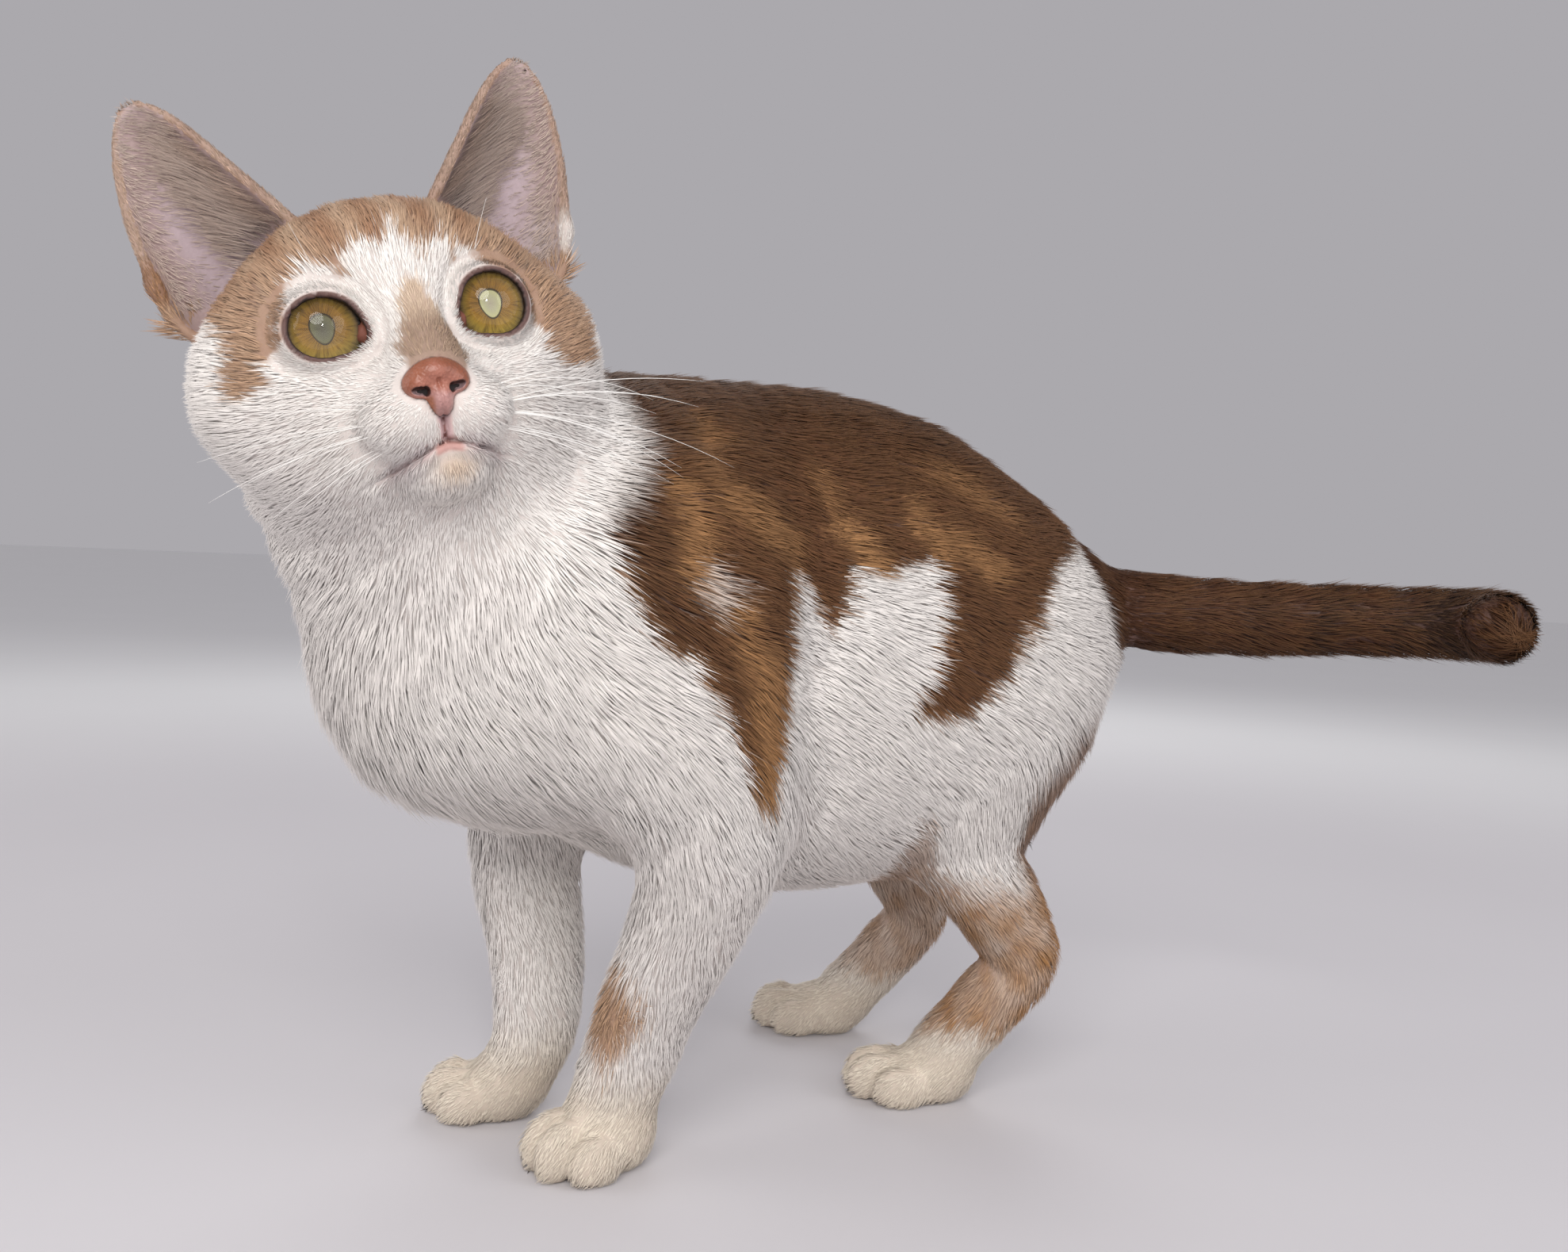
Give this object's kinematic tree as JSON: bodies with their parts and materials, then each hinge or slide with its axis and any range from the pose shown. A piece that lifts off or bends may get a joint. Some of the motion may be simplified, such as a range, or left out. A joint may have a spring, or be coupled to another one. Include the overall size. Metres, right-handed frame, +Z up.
{
  "type": "life-size model of a domestic shorthair cat",
  "caption": "Still, life-size model of a young shorthair cat that stands on four paws, head turned to its left and tail held level behind.",
  "frame": {"origin": "on the floor, under the middle of the model's bounding box", "axes": "+Z up, the trunk faces -Y and the cat's left side is on +X"},
  "size_m": [0.2134, 0.3729, 0.2793],
  "materials": {
    "white_coat": "dense short white fur",
    "cream_coat": "very short cream fur",
    "ginger_coat": "dense short ginger-brown fur with faint bars",
    "eye": "wet polished cornea over an amber iris",
    "nose_leather": "brick-pink, finely pored, satin"
  },
  "bodies": {
    "root": {"head": "white_coat", "jaw": "white_coat", "nose": "nose_leather", "eye_left": "eye", "eye_right": "eye", "ear_left": "ginger_coat", "ear_right": "ginger_coat", "neck": "white_coat", "torso": "white_coat", "upper_arm_left": "white_coat", "upper_arm_right": "white_coat", "forearm_left": "white_coat", "forearm_right": "white_coat", "forepaw_left": "cream_coat", "forepaw_right": "cream_coat", "thigh_left": "white_coat", "thigh_right": "white_coat", "shank_left": "white_coat", "shank_right": "white_coat", "hindpaw_left": "cream_coat", "hindpaw_right": "cream_coat", "tail_base": "ginger_coat", "tail_middle": "ginger_coat", "tail_tip": "ginger_coat"}
  },
  "joints": []
}
